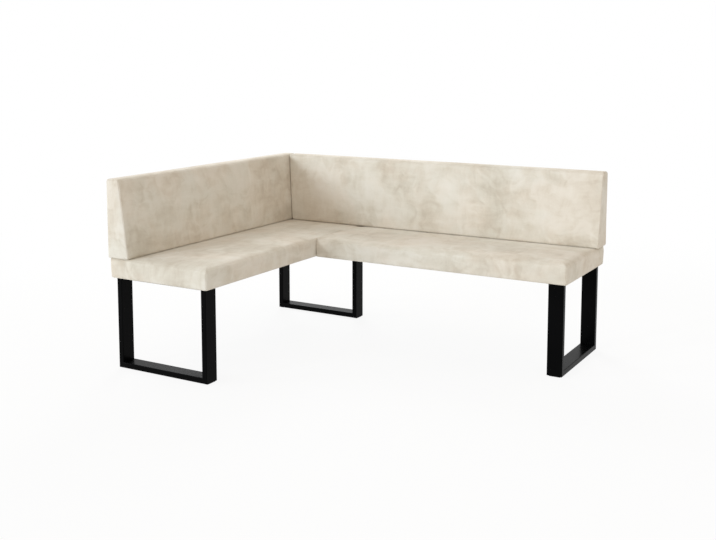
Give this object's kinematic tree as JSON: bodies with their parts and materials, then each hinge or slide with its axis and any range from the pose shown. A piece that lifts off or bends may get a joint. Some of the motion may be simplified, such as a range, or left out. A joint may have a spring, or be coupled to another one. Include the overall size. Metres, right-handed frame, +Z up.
{
  "type": "corner bench",
  "caption": "L-shaped upholstered dining bench: two padded seats that meet in a corner, leaning padded backs and black flat-tube sled legs.",
  "frame": {"origin": "on the floor, under the middle of the bench's outer box", "axes": "+X along the long wing towards its free end, +Y to the back, +Z up; the corner is at -X, +Y"},
  "size_m": [1.81, 1.39, 0.8495],
  "materials": {
    "upholstery": "short-pile velvet-look fabric, cream beige with cloudy brushed patches",
    "foam": "open-cell upholstery foam",
    "dust_cover": "black non-woven",
    "timber": "planed softwood",
    "plywood": "plywood",
    "leg_steel": "matte black powder coat",
    "glide": "black plastic",
    "fixing_steel": "zinc plated"
  },
  "bodies": {
    "root": {"back_bolt_washers": "fixing_steel", "back_bolts": "fixing_steel", "back_tee_nuts": "fixing_steel", "corner_leg_board": "timber", "corner_leg_bottom_bar": "leg_steel", "corner_leg_front_post": "leg_steel", "corner_leg_glides": "glide", "corner_leg_rear_post": "leg_steel", "corner_leg_top_plate": "leg_steel", "leg_bolts": "fixing_steel", "leg_tee_nuts": "fixing_steel", "link_plates": "fixing_steel", "link_screws": "fixing_steel", "long_back_board": "plywood", "long_back_bottom_rail": "timber", "long_back_cover": "upholstery", "long_back_foam": "foam", "long_back_top_rail": "timber", "long_back_uprights": "timber", "long_leg_board": "timber", "long_leg_bottom_bar": "leg_steel", "long_leg_front_post": "leg_steel", "long_leg_glides": "glide", "long_leg_rear_post": "leg_steel", "long_leg_top_plate": "leg_steel", "long_seat_cover": "upholstery", "long_seat_cross_rail_1": "timber", "long_seat_cross_rail_2": "timber", "long_seat_deck": "plywood", "long_seat_dust_cover": "dust_cover", "long_seat_foam": "foam", "long_seat_free_end_rail": "timber", "long_seat_front_rail": "timber", "long_seat_rear_rail": "timber", "long_seat_seam_end_rail": "timber", "short_back_board": "plywood", "short_back_bottom_rail": "timber", "short_back_cover": "upholstery", "short_back_foam": "foam", "short_back_top_rail": "timber", "short_back_uprights": "timber", "short_leg_board": "timber", "short_leg_bottom_bar": "leg_steel", "short_leg_front_post": "leg_steel", "short_leg_glides": "glide", "short_leg_rear_post": "leg_steel", "short_leg_top_plate": "leg_steel", "short_seat_corner_end_rail": "timber", "short_seat_cover": "upholstery", "short_seat_cross_rail_1": "timber", "short_seat_cross_rail_2": "timber", "short_seat_deck": "plywood", "short_seat_dust_cover": "dust_cover", "short_seat_foam": "foam", "short_seat_free_end_rail": "timber", "short_seat_front_rail": "timber", "short_seat_rear_rail": "timber"}
  },
  "joints": []
}
